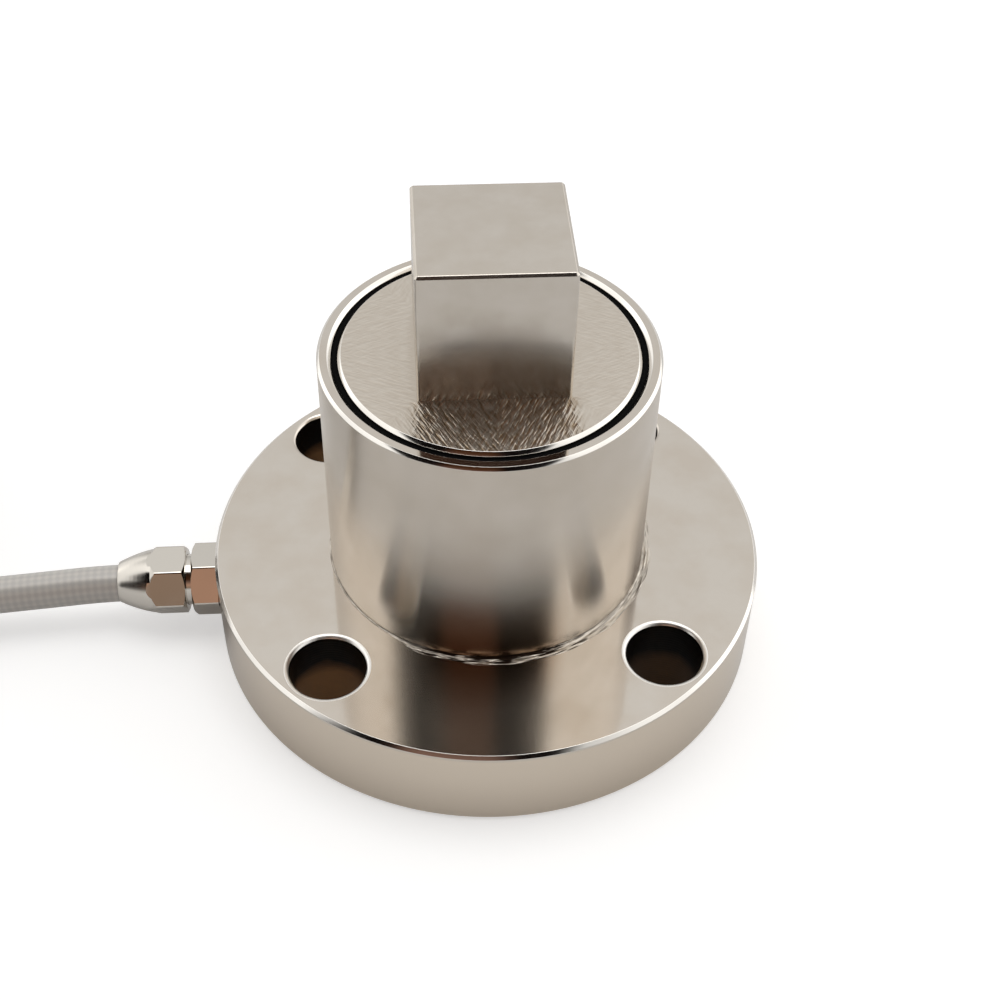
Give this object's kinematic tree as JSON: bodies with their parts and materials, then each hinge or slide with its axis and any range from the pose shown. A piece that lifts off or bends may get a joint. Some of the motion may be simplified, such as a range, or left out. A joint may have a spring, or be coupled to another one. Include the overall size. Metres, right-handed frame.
{
  "type": "flange torque sensor",
  "caption": "Reaction torque sensor: round bolt-down flange, sleeved torsion shaft with a square drive end, and a screened cable leaving a gland in the flange's side.",
  "frame": {"origin": "centre of the bolt circle on the flange's mounting face", "axes": "+Z along the torque axis, from the flange to the square; -X along the cable gland; the square's sides face X and Y"},
  "size_m": [0.2219, 0.1131, 0.0695],
  "materials": {
    "nickel_steel": "nickel-plated, satin",
    "black_rubber": "soft, dull",
    "nickel_brass": "nickel-plated, bright",
    "gauge_film": "amber polyimide film",
    "circuit_board": "green solder mask",
    "chip_body": "moulded black",
    "wire_copper": "enamelled copper",
    "core_red": "insulated core",
    "core_black": "insulated core",
    "core_green": "insulated core",
    "core_white": "insulated core",
    "cable_jacket": "clear jacket over a tinned braid",
    "strap": "woven black strap",
    "shrink_sleeve": "dull black",
    "tinned_copper": "tinned strands"
  },
  "bodies": {
    "root": {"sensor_body": "nickel_steel", "cover_sleeve": "nickel_steel", "seal_ring": "black_rubber", "strain_gauge_1": "gauge_film", "strain_gauge_2": "gauge_film", "strain_gauge_3": "gauge_film", "strain_gauge_4": "gauge_film", "terminal_board": "circuit_board", "trim_resistor_1": "chip_body", "trim_resistor_2": "chip_body", "trim_resistor_3": "chip_body", "trim_resistor_4": "chip_body", "bridge_wires": "wire_copper", "core_red": "core_red", "core_black": "core_black", "core_green": "core_green", "core_white": "core_white", "gland_gasket": "black_rubber", "gland_body": "nickel_brass", "gland_seal": "black_rubber", "gland_washer": "nickel_brass", "gland_nut": "nickel_brass", "cable_lead": "cable_jacket", "cable_coil": "cable_jacket", "coil_tie_1": "strap", "coil_tie_2": "strap", "end_sleeve": "shrink_sleeve", "tail_red": "core_red", "tail_black": "core_black", "tail_green": "core_green", "tail_white": "core_white", "tail_screen": "tinned_copper"}
  },
  "joints": []
}
